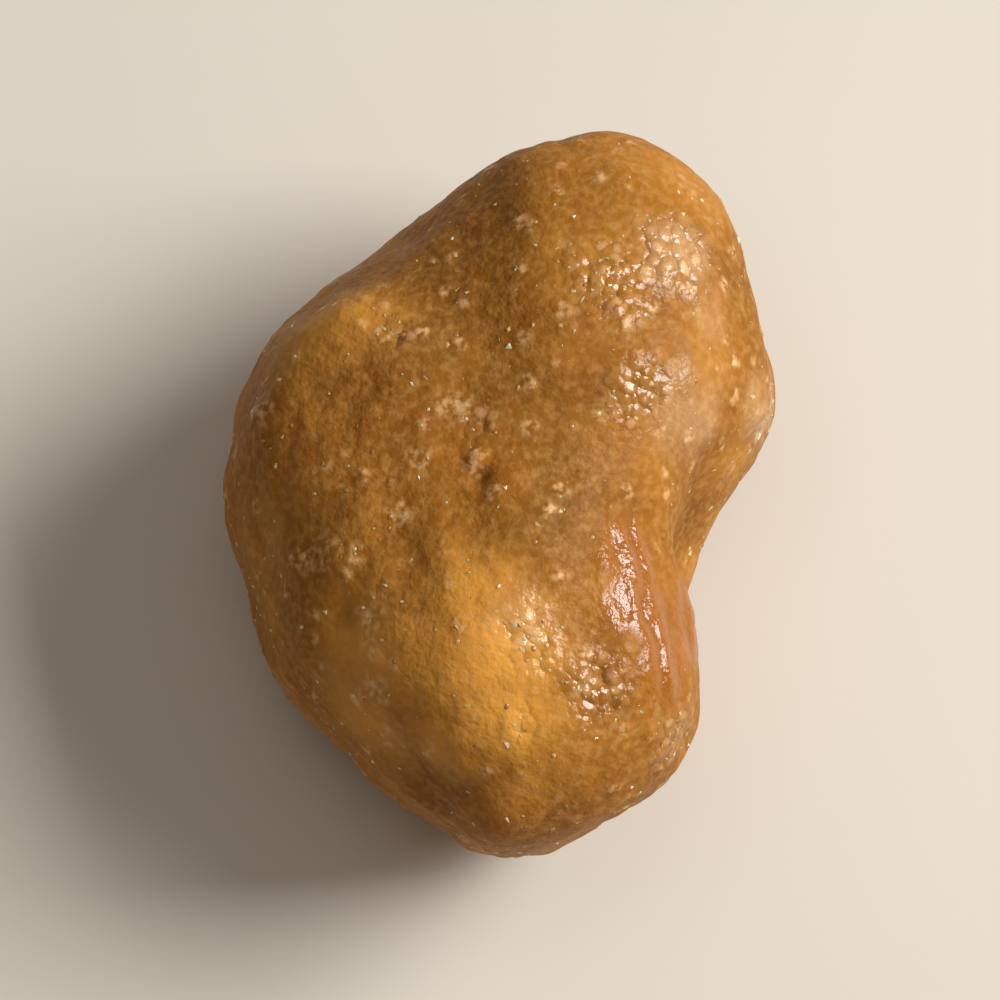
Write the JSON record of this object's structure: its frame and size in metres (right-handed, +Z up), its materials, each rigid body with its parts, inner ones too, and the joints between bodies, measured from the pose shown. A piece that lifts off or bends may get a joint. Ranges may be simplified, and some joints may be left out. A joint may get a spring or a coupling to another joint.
{
  "type": "toffee peanut",
  "caption": "Toffee-coated peanut: a lumpy, waisted nugget of amber-brown butter toffee with sugar grains on its surface, for eating. It lies on its small flat underside.",
  "frame": {"origin": "on the surface it lies on, under the middle of the piece's box", "axes": "+Z up, +Y along the piece from foot to crown, +X from cheek to shoulder"},
  "size_m": [0.0174, 0.0232, 0.0142],
  "materials": {
    "butter_toffee": "satin cooked toffee, sugary, glossy where the syrup set bare"
  },
  "bodies": {
    "root": {"toffee_peanut": "butter_toffee"}
  },
  "joints": []
}
